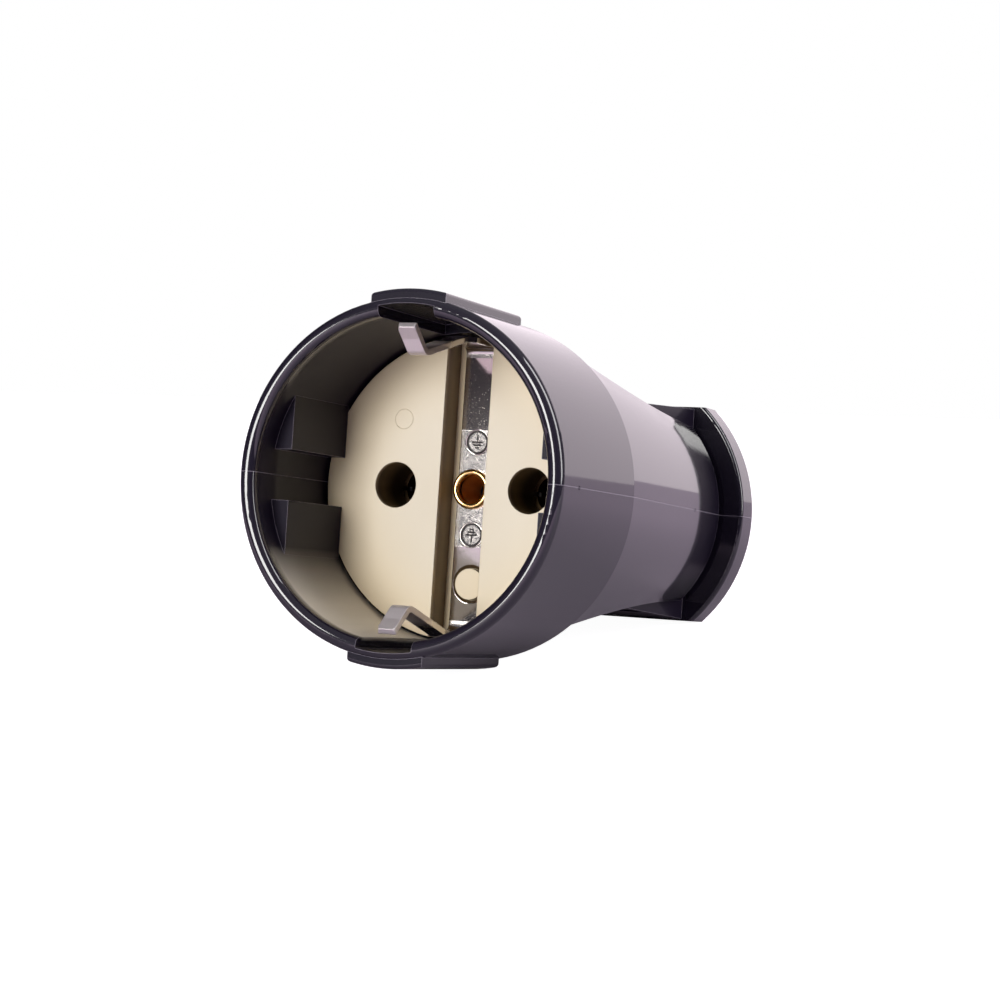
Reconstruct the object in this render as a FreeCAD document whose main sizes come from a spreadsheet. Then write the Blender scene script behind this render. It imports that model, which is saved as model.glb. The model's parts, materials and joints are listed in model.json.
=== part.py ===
import FreeCAD, Part
import math
import os
import Sketcher

# Inline socket connector for an earthed round two-pin plug, wired at the tail.
# Everything is drawn in one frame: the mouth is at along = 0 and faces -Y, with its
# round bead standing a little ahead of that plane. The tail runs towards +Y, the pins lie
# side by side in X and the earth clips in +Z and -Z.
# At the end every piece gets the same placement, which lays the connector on a table.

os.makedirs("parts", exist_ok=True)
doc = FreeCAD.newDocument("socket_connector")

# Driving sizes in millimetres

SIZES = [
    ("head_wall", 2.1, "recess to the outside of the round head"),
    ("edge_rounding", 0.5, "rounding of the ears and of the flange"),
    ("recess_radius", 19.9, "recess that takes the plug"),
    ("recess_depth", 17.5, "mouth to the insert"),
    ("drum_length", 21.8, "round head, mouth to shoulder"),
    ("ear_proud", 1.1, "ear above the head"),
    ("ear_width", 10.2, "ear across"),
    ("ear_length", 21.2, "ear from the mouth back"),
    ("ear_lead", 0.5, "front of the ear ahead of the mouth"),
    ("pocket_width", 7.6, "pocket behind each earth clip"),
    ("pocket_wall", 1.9, "ear wall outside the pocket"),
    ("keyway_depth", 2.7, "keyway block, inwards from the recess"),
    ("keyway_setback", 3.6, "mouth to the front of the blocks"),
    ("channel_height", 6.4, "channel between the two blocks of a side"),
    ("wall", 2.2, "casing wall behind the insert"),
    ("saddle_width", 16.8, "raised saddle behind the head"),
    ("saddle_end", 24.8, "mouth to the back of the saddle"),
    ("saddle_drop", 0.3, "saddle below the head"),
    ("saddle_rounding", 1.2, "rear edges of the saddle"),
    ("tail_radius", 18.0, "cheeks at their rear end"),
    ("cheek_end", 64.0, "mouth to the end of the cheeks"),
    ("flat_front", 16.5, "half height of the grip flats at the head"),
    ("flat_rear", 12.4, "half height of the grip flats at the tail"),
    ("flat_curve", 280.0, "radius of the hollow in the grip flats"),
    ("hub_start", 38.0, "mouth to the point where the hub begins"),
    ("hub_front_width", 24.8, "hub across at its front"),
    ("hub_front_height", 27.2, "hub height at its front"),
    ("hub_rear_width", 25.7, "hub across at the flange"),
    ("hub_rear_height", 30.2, "hub height at the flange"),
    ("neck_radius", 16.6, "groove in front of the flange"),
    ("neck_width", 1.2, "groove in front of the flange, along the axis"),
    ("flange_radius", 21.1, "sides of the flange"),
    ("flange_height", 30.7, "flange across its two flats"),
    ("overall_length", 69.8, "mouth to the back of the flange"),
    ("chamber_end", 61.5, "mouth to the end of the wiring chamber"),
    ("inlet_radius", 4.5, "cable inlet"),
    ("inlet_rounding", 1.5, "mouth of the cable inlet"),
    ("rib_width", 22.0, "ribs behind the retainer"),
    ("rib_thickness", 1.6, "ribs behind the retainer"),
    ("rib_overlap", 1.2, "how far a rib reaches over the retainer"),
    ("fit_gap", 0.1, "play between inner pieces"),
    ("insert_play", 0.4, "recess to the edge of the insert"),
    ("insert_thickness", 2.5, "disc of the insert"),
    ("trough_width", 10.0, "trough under the earth strap"),
    ("trough_floor", 1.2, "trough under the earth strap"),
    ("groove_width", 6.5, "groove for the earth strap"),
    ("groove_depth", 4.0, "groove for the earth strap"),
    ("pin_pitch", 19.0, "between the two pin holes"),
    ("pin_hole_radius", 2.95, "pin hole in the insert"),
    ("pin_hole_depth", 8.0, "pin hole before the contact begins"),
    ("block_width", 30.4, "rear block of the insert"),
    ("block_height", 16.0, "rear block of the insert"),
    ("block_end", 38.0, "mouth to the back of the rear block"),
    ("centre_web", 3.5, "insert wall that the eyelet clamps"),
    ("centre_width", 9.0, "hollow behind the centre of the insert"),
    ("centre_height", 12.0, "hollow behind the centre of the insert"),
    ("retainer_thickness", 2.0, "plate that closes the insert"),
    ("boss_radius", 2.0, "stud that keeps the strap from turning"),
    ("boss_drop", 12.2, "axis to the stud"),
    ("boss_side", 0.6, "stud to the right of the strap's middle"),
    ("boss_proud", 0.4, "stud above the strap"),
    ("strap_thickness", 0.8, "earth strap sheet"),
    ("strap_width", 4.2, "earth strap"),
    ("strap_eye_radius", 2.6, "strap round the stud"),
    ("eye_countersink", 0.4, "sloping edge of the hole for the stud"),
    ("strap_bend", 0.9, "inner radius of the folds in the strap"),
    ("arm_margin", 1.2, "recess to the middle of the standing arms"),
    ("clip_width", 2.4, "springy clips"),
    ("clip_rounding", 0.7, "corners of the tips"),
    ("clip_waist", 14.0, "mouth to the point where the arms turn inwards"),
    ("clip_fold", 3.1, "mouth to the fold that touches the plug"),
    ("fold_margin", 4.3, "recess to the middle of that fold"),
    ("tip_lead", 0.4, "tips ahead of the mouth"),
    ("tip_margin", 1.3, "recess to the middle of the tips"),
    ("strap_centre_radius", 2.6, "strap round the eyelet"),
    ("eyelet_radius", 2.05, "barrel of the eyelet"),
    ("eyelet_bore", 1.75, "hole through the eyelet"),
    ("eyelet_flare", 0.45, "radius of the flared mouth of the eyelet"),
    ("eyelet_flange", 2.6, "rolled head of the eyelet"),
    ("eyelet_head", 0.7, "rolled head of the eyelet, along the axis"),
    ("terminal_thickness", 1.2, "earth terminal strip"),
    ("terminal_width", 6.4, "earth terminal strip"),
    ("terminal_drop", 4.2, "axis to the underside of the earth tab"),
    ("terminal_end", 47.5, "mouth to the end of the earth tab"),
    ("earth_screw_along", 43.5, "mouth to the earth screw"),
    ("sleeve_radius", 3.3, "contact sleeve"),
    ("sleeve_bore", 2.5, "contact sleeve, hole for the pin"),
    ("sleeve_room", 3.5, "bore of the insert round the sleeve"),
    ("sleeve_slot", 0.6, "slots of the contact sleeve"),
    ("slot_length", 9.0, "slots of the contact sleeve"),
    ("collar_radius", 4.0, "collar of the contact sleeve"),
    ("collar_thickness", 3.0, "collar of the contact sleeve"),
    ("sleeve_end", 47.5, "mouth to the back of the sleeve"),
    ("wire_bore", 1.6, "wire hole in the back of the sleeve"),
    ("wire_bore_length", 8.0, "wire hole in the back of the sleeve"),
    ("live_screw_along", 44.0, "mouth to the two line screws"),
    ("spring_wire", 0.24, "radius of the wire of the ring spring"),
    ("spring_groove", 0.35, "depth of the groove under the spring"),
    ("spring_along", 28.0, "mouth to the ring spring"),
    ("spring_opening", 40.0, "gap of the ring spring in degrees"),
    ("screw_radius", 1.5, "shank of the clamp and casing screws"),
    ("screw_head_radius", 2.75, "heads of the clamp and casing screws"),
    ("screw_head", 2.0, "height of those heads"),
    ("small_screw_radius", 1.25, "shank of the line screws"),
    ("small_head_radius", 2.0, "heads of the line screws"),
    ("small_head", 1.4, "height of those heads"),
    ("driver_slot", 0.7, "slot in every screw head"),
    ("earth_screw_turn", 25.0, "slot of the earth screw, degrees from the axis"),
    ("live_screw_turn", 40.0, "slots of the line screws, degrees from the axis"),
    ("grip_screw_turn", 70.0, "slots of the cord grip screws, degrees from the axis"),
    ("casing_screw_turn", 15.0, "slots of the casing screws, degrees from the axis"),
    ("casing_screw_side", 8.9, "axis to a casing screw"),
    ("casing_screw_along", 52.0, "mouth to the casing screws"),
    ("casing_boss_radius", 3.6, "pillars round the casing screws"),
    ("counterbore_floor", 9.0, "parting plane to the seat of a head or nut"),
    ("counterbore_play", 0.3, "room round a screw head"),
    ("nut_flats", 5.5, "nut across its flats"),
    ("nut_height", 2.4, "nut"),
    ("grip_screw_side", 7.4, "axis to a cord grip screw"),
    ("grip_screw_along", 58.3, "mouth to the cord grip"),
    ("grip_boss_radius", 2.6, "pillars under the cord grip"),
    ("grip_width", 5.0, "cord grip bar, along the axis"),
    ("grip_length", 20.0, "cord grip bar across"),
    ("grip_height", 2.6, "cord grip bar"),
    ("grip_arch", 4.0, "hollow under the cord grip bar"),
    ("grip_screw_length", 7.0, "cord grip screw below its head"),
]

sheet = doc.addObject("Spreadsheet::Sheet", "sizes")
for row, (alias, size, meaning) in enumerate(SIZES, start=1):
    sheet.set("A%d" % row, meaning)
    sheet.set("B%d" % row, str(size))
    sheet.setAlias("B%d" % row, alias)
doc.recompute()

# Sizes that follow from others and go by a name of their own in every expression

FOLLOWING = {
    "head_radius": "(recess_radius + head_wall)",
    "bead_radius": "(head_wall / 2)",
    "bead_middle": "(recess_radius + head_wall / 2)",
    "keyway_chord": "(recess_radius - keyway_depth)",
    "insert_radius": "(recess_radius - insert_play)",
    "arm_reach": "(recess_radius - arm_margin)",
    "fold_reach": "(recess_radius - fold_margin)",
    "tip_reach": "(recess_radius - tip_margin)",
}


def bound(text):
    """An expression with each size name pointed at the sheet."""
    names = [alias for alias, _, _ in SIZES]
    out = []
    word = ""
    for letter in text + " ":
        if letter.isalnum() or letter == "_":
            word += letter
            continue
        if word in FOLLOWING:
            out.append(bound(FOLLOWING[word]))
        else:
            out.append("sizes." + word if word in names else word)
        out.append(letter)
        word = ""
    return "".join(out).strip()


def number(text):
    """The value of an expression in sizes."""
    return float(probe.evalExpression(bound(text)))


probe = doc.addObject("App::FeaturePython", "probe")

# Places along the axis and radii that many pieces share

SEAT = "recess_depth"
DISC_BACK = "(recess_depth + insert_thickness)"
TROUGH_BACK = "(recess_depth + groove_depth + trough_floor)"
GROOVE_FLOOR = "(recess_depth + groove_depth)"
WEB_BACK = "(recess_depth + groove_depth + centre_web)"
EAR_RADIUS = "(head_radius + ear_proud)"
POCKET_RADIUS = "(head_radius + ear_proud - pocket_wall)"
FLANGE_FRONT = "(cheek_end + neck_width)"
PIN_SIDE = "(pin_pitch / 2)"


def feature(owner, kind, name, **values):
    """A feature of a body or of the document, with its sizes bound to the sheet."""
    item = owner.newObject(kind, name) if owner else doc.addObject(kind, name)
    for key, content in values.items():
        if isinstance(content, str) and key not in ("Type", "SideType"):
            item.setExpression(key, bound(content))
        else:
            setattr(item, key, content)
    return item


def make_body(name):
    return doc.addObject("PartDesign::Body", name)


def origin_plane(body, plane):
    """The body's own origin plane or axis with the given role."""
    return next(item for item in body.Origin.OriginFeatures if item.Role == plane)


def pin_point(sketch, shape, point, across, up):
    """Hold one point of a sketch at its two distances from the origin."""
    for kind, text, axis in (("DistanceX", across, -2), ("DistanceY", up, -1)):
        if text == "0":
            sketch.addConstraint(Sketcher.Constraint("PointOnObject", shape, point, axis))
            continue
        row = sketch.addConstraint(Sketcher.Constraint(kind, -1, 1, shape, point, number(text)))
        sketch.setExpression("Constraints[%d]" % row, bound(text))


def draw(body, name, plane, loops, lift="0"):
    """A sketch of closed loops.

    A loop is a list of corners (across, up). A corner with a third entry starts an arc
    (turn, radius) to the next corner, where turn is "left" or "right". A loop that is
    one tuple (across, up, radius) is a circle.
    """
    sketch = body.newObject("Sketcher::SketchObject", name)
    sketch.AttachmentSupport = [(origin_plane(body, plane), "")]
    sketch.MapMode = "FlatFace"
    if lift != "0":
        sketch.setExpression(".AttachmentOffset.Base.z", bound(lift))
    for loop in loops:
        if isinstance(loop, tuple):
            centre = FreeCAD.Vector(number(loop[0]), number(loop[1]), 0)
            ring = sketch.addGeometry(
                Part.Circle(centre, FreeCAD.Vector(0, 0, 1), number(loop[2])))
            row = sketch.addConstraint(Sketcher.Constraint("Radius", ring, number(loop[2])))
            sketch.setExpression("Constraints[%d]" % row, bound(loop[2]))
            pin_point(sketch, ring, 3, loop[0], loop[1])
            continue
        draw_loop(sketch, loop)
    return sketch


def draw_loop(sketch, loop):
    """Lines and arcs from corner to corner, each corner held by its distances."""
    ends = []
    spots = [FreeCAD.Vector(number(corner[0]), number(corner[1]), 0) for corner in loop]
    for place, corner in enumerate(loop):
        here = spots[place]
        there = spots[(place + 1) % len(loop)]
        if len(corner) == 2:
            ends.append((sketch.addGeometry(Part.LineSegment(here, there)), 1, 2))
            continue
        turn, size = corner[2]
        radius = number(size)
        middle = (here + there) / 2
        half = (there - here).Length / 2
        side = FreeCAD.Vector(here.y - there.y, there.x - here.x, 0).normalize()
        if turn == "right":
            side = side * -1
        centre = middle + side * math.sqrt(max(radius ** 2 - half ** 2, 0.0))
        first, last = (here, there) if turn == "left" else (there, here)
        start = math.atan2(first.y - centre.y, first.x - centre.x)
        stop = math.atan2(last.y - centre.y, last.x - centre.x)
        if stop < start:
            stop += 2 * math.pi
        circle = Part.Circle(centre, FreeCAD.Vector(0, 0, 1), radius)
        shape = sketch.addGeometry(Part.ArcOfCircle(circle, start, stop))
        row = sketch.addConstraint(Sketcher.Constraint("Radius", shape, radius))
        sketch.setExpression("Constraints[%d]" % row, bound(size))
        ends.append((shape, 1, 2) if turn == "left" else (shape, 2, 1))
    for place, (shape, begin, _) in enumerate(ends):
        before, _, end = ends[place - 1]
        sketch.addConstraint(Sketcher.Constraint("Coincident", before, end, shape, begin))
        pin_point(sketch, shape, begin, loop[place][0], loop[place][1])


def box_loop(left, low, right, high):
    return [(left, low), (right, low), (right, high), (left, high)]


def mirrored_loop(loop):
    """The same loop reflected about the across axis, walked the other way round."""
    flipped = []
    for place in range(len(loop) - 1, -1, -1):
        corner = loop[place]
        arc = loop[place - 1][2:]
        up = corner[1] if corner[1] == "0" else "-(%s)" % corner[1]
        flipped.append((corner[0], up) + arc)
    return flipped


def along_sketch(body, name, loops, start):
    """A sketch across the axis at a distance from the mouth, seen from the front."""
    return draw(body, name, "XZ_Plane", loops, lift="-(%s)" % start)


def pad_back(body, name, sketch, length):
    return feature(body, "PartDesign::Pad", name, Profile=sketch, Length=length, Reversed=True)


def pocket_back(body, name, sketch, length):
    """A pocket that runs from its sketch towards the tail."""
    return feature(body, "PartDesign::Pocket", name, Profile=sketch, Length=length)


def check_removed(item, before):
    """A pocket that points away from the solid cuts nothing, so its volume is compared."""
    doc.recompute()
    if not item.Shape.Volume < before - 1e-6:
        raise RuntimeError("%s removed nothing" % item.Name)
    return item.Shape.Volume


def pad_both(body, name, sketch, length):
    return feature(body, "PartDesign::Pad", name, Profile=sketch, Length=length, Midplane=True)


def cylinder(name, radius, height, spot, along=None):
    """A cylinder that starts at spot and runs up, or towards the tail."""
    item = feature(None, "Part::Cylinder", name, Radius=radius, Height=height)
    place(item, spot)
    if along == "tail":
        item.Placement.Rotation = FreeCAD.Rotation(FreeCAD.Vector(1, 0, 0), -90)
    return item


def place(item, spot):
    for axis, text in zip("xyz", spot):
        item.setExpression(".Placement.Base." + axis, bound(text))


def box(name, low, size):
    item = feature(None, "Part::Box", name, Length=size[0], Width=size[1], Height=size[2])
    place(item, low)
    return item


def joined(name, items):
    return feature(None, "Part::MultiFuse", name, Shapes=items, Refine=True)


def cut(name, base, tool):
    return feature(None, "Part::Cut", name, Base=base, Tool=tool, Refine=True)


# Casing, outside. The head is a drum with a round bead at its mouth, the body behind it
# a cone with two hollow grip flats, and a hub and a flange with two flats give the fingers
# something to pull.

casing = make_body("casing_outside")
turned = [
    ("0", "-bead_radius"),
    ("bead_middle", "-bead_radius", ("left", "bead_radius")),
    ("head_radius", "0"),
    ("head_radius", "drum_length"),
    ("tail_radius", "cheek_end"),
    ("neck_radius", "cheek_end"),
    ("neck_radius", FLANGE_FRONT),
    ("flange_radius - edge_rounding", FLANGE_FRONT, ("left", "edge_rounding")),
    ("flange_radius", FLANGE_FRONT + " + edge_rounding"),
    ("flange_radius", "overall_length - edge_rounding", ("left", "edge_rounding")),
    ("flange_radius - edge_rounding", "overall_length"),
    ("0", "overall_length"),
]
profile = draw(casing, "casing_profile", "XY_Plane", [turned])
feature(casing, "PartDesign::Revolution", "casing_turned", Profile=profile,
        ReferenceAxis=(origin_plane(casing, "Y_Axis"), [""]), Angle=360.0)
doc.recompute()
volume = casing.Shape.Volume

FAR = "(head_radius * 2)"
grip_flat = [
    ("drum_length", "flat_front", ("left", "flat_curve")),
    (FLANGE_FRONT, "flat_rear"),
    (FLANGE_FRONT, FAR),
    ("drum_length", FAR),
]
flats = draw(casing, "grip_flats", "YZ_Plane", [grip_flat, mirrored_loop(grip_flat)])
grip = feature(casing, "PartDesign::Pocket", "grip_flats_cut", Profile=flats, Length=FAR + " * 2",
               Midplane=True)
volume = check_removed(grip, volume)

flange_flat = [
    (FLANGE_FRONT, "flange_height / 2"),
    ("overall_length - edge_rounding", "flange_height / 2", ("right", "edge_rounding")),
    ("overall_length", "flange_height / 2 - edge_rounding"),
    ("overall_length + wall", "flange_height / 2 - edge_rounding"),
    ("overall_length + wall", FAR),
    (FLANGE_FRONT, FAR),
]
ends = draw(casing, "flange_flats", "YZ_Plane", [flange_flat, mirrored_loop(flange_flat)])
trim = feature(casing, "PartDesign::Pocket", "flange_flats_cut", Profile=ends,
               Length=FAR + " * 2", Midplane=True)
volume = check_removed(trim, volume)

hub = feature(None, "Part::Wedge", "hub",
              Ymin="hub_start", Ymax=FLANGE_FRONT + " + edge_rounding",
              Xmin="-hub_front_width / 2", Xmax="hub_front_width / 2",
              Zmin="-hub_front_height / 2", Zmax="hub_front_height / 2",
              X2min="-hub_rear_width / 2", X2max="hub_rear_width / 2",
              Z2min="-hub_rear_height / 2", Z2max="hub_rear_height / 2")

# Ears over the two earth clips. One strip across the head makes both, and its ends are
# round with the head. The recess takes the middle of the strip away again. A lower and
# wider strip makes the saddle, which covers the ends of the insert's trough.


def round_ended(width, radius):
    """A strip across the axis whose two ends follow a circle about the axis."""
    half = "(%s / 2)" % width
    end = "sqrt(pow(%s; 2) - pow(%s; 2))" % (radius, half)
    return [
        (half, "-" + end),
        (half, end, ("left", radius)),
        ("-" + half, end),
        ("-" + half, "-" + end, ("left", radius)),
    ]


ears = make_body("ears_outside")
ear_sketch = along_sketch(ears, "ear_outline", [round_ended("ear_width", EAR_RADIUS)],
                          "-ear_lead")
pad_back(ears, "ear_pads", ear_sketch, "ear_lead + ear_length")
saddle = make_body("saddle_outside")
saddle_sketch = along_sketch(
    saddle, "saddle_outline", [round_ended("saddle_width", "(head_radius - saddle_drop)")],
    "ear_length / 2")
pad_back(saddle, "saddle_pad", saddle_sketch, "saddle_end - ear_length / 2")
doc.recompute()


def edges_beyond(shape, radius):
    """The edges whose middle lies further from the axis than the radius."""
    names = []
    for index, edge in enumerate(shape.Edges, start=1):
        middle = edge.valueAt((edge.FirstParameter + edge.LastParameter) / 2)
        if math.hypot(middle.x, middle.z) > radius:
            names.append("Edge%d" % index)
    return names


ear_base = (ears.Tip, edges_beyond(ears.Shape, number("head_radius")))
feature(ears, "PartDesign::Fillet", "ear_edges", Base=ear_base, Radius="edge_rounding")
saddle_base = (saddle.Tip, edges_beyond(saddle.Shape, number("head_radius - saddle_drop * 2")))
feature(saddle, "PartDesign::Fillet", "saddle_edges", Base=saddle_base,
        Radius="saddle_rounding")

# Casing, inside. The recess has two keyway blocks a side with a channel between them.
# Behind it the same bore seats the insert, and the chamber keeps an even wall.

recess = make_body("casing_inside")
mouth = along_sketch(recess, "recess_mouth", [("0", "0", "recess_radius")], "-wall")
pad_back(recess, "recess_front", mouth, "keyway_setback + wall")
CHORD_TOP = "sqrt(pow(recess_radius; 2) - pow(keyway_chord; 2))"
CHANNEL = "(channel_height / 2)"
CHANNEL_SIDE = "sqrt(pow(recess_radius; 2) - pow(channel_height / 2; 2))"
keyed = [
    ("keyway_chord", CHORD_TOP, ("left", "recess_radius")),
    ("-keyway_chord", CHORD_TOP),
    ("-keyway_chord", CHANNEL),
    ("-" + CHANNEL_SIDE, CHANNEL, ("left", "recess_radius")),
    ("-" + CHANNEL_SIDE, "-" + CHANNEL),
    ("-keyway_chord", "-" + CHANNEL),
    ("-keyway_chord", "-" + CHORD_TOP, ("left", "recess_radius")),
    ("keyway_chord", "-" + CHORD_TOP),
    ("keyway_chord", "-" + CHANNEL),
    (CHANNEL_SIDE, "-" + CHANNEL, ("left", "recess_radius")),
    (CHANNEL_SIDE, CHANNEL),
    ("keyway_chord", CHANNEL),
]
keys = along_sketch(recess, "recess_keyed", [keyed], "keyway_setback")
pad_back(recess, "recess_blocks", keys, SEAT + " - keyway_setback")
seat = along_sketch(recess, "insert_seat", [("0", "0", "recess_radius")], SEAT)
pad_back(recess, "insert_room", seat, "insert_thickness")
trough_room = along_sketch(
    recess, "trough_room", [round_ended("(trough_width + fit_gap * 4)", "recess_radius")], SEAT)
pad_back(recess, "trough_room_pad", trough_room, TROUGH_BACK + " + fit_gap - recess_depth")
POCKET_HALF = "(pocket_width / 2)"
POCKET_EDGE = "sqrt(pow(%s; 2) - pow(%s; 2))" % (POCKET_RADIUS, POCKET_HALF)
clip_pocket = [
    ("-" + POCKET_HALF, "ear_width"),
    (POCKET_HALF, "ear_width"),
    (POCKET_HALF, POCKET_EDGE, ("left", POCKET_RADIUS)),
    ("-" + POCKET_HALF, POCKET_EDGE),
]
pockets = along_sketch(recess, "clip_pockets", [clip_pocket, mirrored_loop(clip_pocket)],
                       "-wall")
pad_back(recess, "clip_pocket_room", pockets, SEAT + " + wall")

chamber = make_body("wiring_chamber")
hollow = [
    ("0", DISC_BACK),
    ("head_radius - wall - edge_rounding", DISC_BACK),
    ("tail_radius - wall", "chamber_end"),
    ("0", "chamber_end"),
]
hollow_sketch = draw(chamber, "chamber_profile", "XY_Plane", [hollow])
feature(chamber, "PartDesign::Revolution", "chamber_turned", Profile=hollow_sketch,
        ReferenceAxis=(origin_plane(chamber, "Y_Axis"), [""]), Angle=360.0)
doc.recompute()
volume = chamber.Shape.Volume
inner_flat = [
    (DISC_BACK, "flat_front - wall"),
    ("drum_length", "flat_front - wall", ("left", "flat_curve")),
    (FLANGE_FRONT, "flat_rear - wall"),
    (FLANGE_FRONT, FAR),
    (DISC_BACK, FAR),
]
inner_flats = draw(chamber, "chamber_flats", "YZ_Plane",
                   [inner_flat, mirrored_loop(inner_flat)])
trim = feature(chamber, "PartDesign::Pocket", "chamber_flats_cut", Profile=inner_flats,
               Length=FAR + " * 2", Midplane=True)
check_removed(trim, volume)

# The inner half of the bead, rounded into the recess.

mouth_flare = make_body("mouth_flare")
flare = [
    ("0", "-wall"),
    ("bead_middle", "-wall"),
    ("bead_middle", "-bead_radius", ("right", "bead_radius")),
    ("recess_radius", "0"),
    ("0", "0"),
]
flare_sketch = draw(mouth_flare, "flare_profile", "XY_Plane", [flare])
feature(mouth_flare, "PartDesign::Revolution", "flare_turned", Profile=flare_sketch,
        ReferenceAxis=(origin_plane(mouth_flare, "Y_Axis"), [""]), Angle=360.0)

# The cable inlet is a bore with a rounded mouth, half in each shell.

inlet = make_body("cable_inlet")
inlet_profile = [
    ("0", "chamber_end - wall"),
    ("inlet_radius", "chamber_end - wall"),
    ("inlet_radius", "overall_length - inlet_rounding", ("right", "inlet_rounding")),
    ("inlet_radius + inlet_rounding", "overall_length"),
    ("inlet_radius + inlet_rounding", "overall_length + wall"),
    ("0", "overall_length + wall"),
]
inlet_sketch = draw(inlet, "inlet_profile", "XY_Plane", [inlet_profile])
feature(inlet, "PartDesign::Revolution", "inlet_turned", Profile=inlet_sketch,
        ReferenceAxis=(origin_plane(inlet, "Y_Axis"), [""]), Angle=360.0)

outside = joined("casing_block", [casing, hub, ears, saddle])
hollowed = cut("casing_hollow", outside,
               joined("casing_rooms", [recess, mouth_flare, chamber, inlet]))

# Pillars for the two casing screws stand in both shells. The lower shell also carries
# the two pillars of the cord grip, level with the parting plane.


def pillars(name, radius, side, along, reach):
    """A pair of pillars through the chamber, or up to the parting plane."""
    items = []
    for hand, sign in (("left", "-"), ("right", "")):
        items.append(cylinder("%s_%s" % (name, hand), radius, reach[1],
                              (sign + side, along, reach[0])))
    return items


casing_pillars = pillars("screw_pillar", "casing_boss_radius", "casing_screw_side",
                         "casing_screw_along", ("-flat_rear", "flat_rear * 2"))
grip_pillars = pillars("grip_pillar", "grip_boss_radius", "grip_screw_side",
                       "grip_screw_along", ("-(flat_rear - wall / 2)", "flat_rear - wall / 2"))
screw_bores = pillars("screw_bore", "screw_radius + fit_gap", "casing_screw_side",
                      "casing_screw_along", ("-head_radius", "head_radius * 2"))
head_bores = pillars("head_bore", "screw_head_radius + counterbore_play", "casing_screw_side",
                     "casing_screw_along", ("-head_radius", "head_radius - counterbore_floor"))
grip_bores = pillars("grip_bore", "screw_radius + fit_gap", "grip_screw_side",
                     "grip_screw_along", ("-(grip_screw_length - wall)", "grip_screw_length"))


# A rib in each shell stands behind the retainer and keeps the insert against its seat.

RETAINER_BACK = "(block_end + retainer_thickness)"
RIB_LOW = "(block_height / 2 - rib_overlap)"
RIB_SIZE = ("rib_width", "rib_thickness", "flat_front - wall / 2 - " + RIB_LOW)
rib_upper = box("rib_upper", ("-rib_width / 2", RETAINER_BACK, RIB_LOW), RIB_SIZE)
rib_lower = box("rib_lower", ("-rib_width / 2", RETAINER_BACK, "-(flat_front - wall / 2)"),
                RIB_SIZE)


def hexagon(name, flats, low, height, spot):
    """A six-sided prism that stands on its end."""
    item = feature(None, "Part::Prism", name, Polygon=6, Circumradius="(%s) / sqrt(3)" % flats,
                   Height=height)
    place(item, (spot[0], spot[1], low))
    return item


nut_pockets = [
    hexagon("nut_pocket_" + hand, "nut_flats + fit_gap * 2", "counterbore_floor", "head_radius",
            (sign + "casing_screw_side", "casing_screw_along"))
    for hand, sign in (("left", "-"), ("right", ""))
]


def half_space(name, low):
    """A block over one side of the parting plane."""
    return box(name, ("-" + FAR, "-wall", low), (FAR + " * 2", "overall_length * 2", FAR))


def shell(name, low, extra, bores):
    """One half of the casing, with its pillars and bores."""
    half = feature(None, "Part::Common", name + "_half", Base=hollowed,
                   Tool=half_space(name + "_side", low))
    posts = feature(None, "Part::Common", name + "_posts_inside", Base=outside,
                    Tool=joined(name + "_posts", extra))
    inner = feature(None, "Part::Common", name + "_pillars", Base=posts,
                    Tool=half_space(name + "_post_side", low))
    filled = joined(name + "_filled", [half, inner])
    return cut(name, filled, joined(name + "_bores", bores))


casing_upper = shell("casing_upper", "0", casing_pillars + [rib_upper],
                     screw_bores + nut_pockets)
casing_lower = shell("casing_lower", "-" + FAR, casing_pillars + grip_pillars + [rib_lower],
                     screw_bores + head_bores + grip_bores)

# Socket insert, moulded in one piece: a disc with the pin holes and the groove for the
# earth strap, and a block behind it with the rooms of the contacts.

insert = make_body("socket_insert")
disc = along_sketch(insert, "disc", [("0", "0", "insert_radius")], SEAT)
pad_back(insert, "disc_pad", disc, "insert_thickness")
block = along_sketch(insert, "block", [box_loop("-block_width / 2", "-block_height / 2",
                                                "block_width / 2", "block_height / 2")], SEAT)
pad_back(insert, "block_pad", block, "block_end - recess_depth")
trough = along_sketch(insert, "trough", [round_ended("trough_width", "insert_radius")], SEAT)
pad_back(insert, "trough_pad", trough, TROUGH_BACK + " - recess_depth")
doc.recompute()
volume = insert.Shape.Volume
insert_rooms = [
    ("strap_groove", [box_loop("-groove_width / 2", "-head_radius", "groove_width / 2",
                               "head_radius")], SEAT, "groove_depth"),
    ("pin_holes", [("-" + PIN_SIDE, "0", "pin_hole_radius"), (PIN_SIDE, "0", "pin_hole_radius")],
     SEAT, "block_end"),
    ("sleeve_rooms", [("-" + PIN_SIDE, "0", "sleeve_room"), (PIN_SIDE, "0", "sleeve_room")],
     SEAT + " + pin_hole_depth", "block_end"),
    ("collar_rooms", [("-" + PIN_SIDE, "0", "collar_radius + fit_gap"),
                      (PIN_SIDE, "0", "collar_radius + fit_gap")],
     "block_end - collar_thickness", "block_end"),
    ("centre_hollow", [box_loop("-centre_width / 2", "-centre_height / 2", "centre_width / 2",
                                "centre_height / 2")], WEB_BACK, "block_end"),
    ("eyelet_hole", [("0", "0", "eyelet_radius + fit_gap")], SEAT, "block_end"),
]
for name, loops, start, length in insert_rooms:
    room = pocket_back(insert, name, along_sketch(insert, name + "_outline", loops, start), length)
    volume = check_removed(room, volume)
stud = along_sketch(insert, "stud", [("boss_side", "-boss_drop", "boss_radius")],
                    GROOVE_FLOOR + " - strap_thickness - boss_proud")
pad_back(insert, "stud_pad", stud, "strap_thickness + boss_proud + fit_gap")

# Retainer, a moulded plate that closes the contact rooms from behind.

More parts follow.
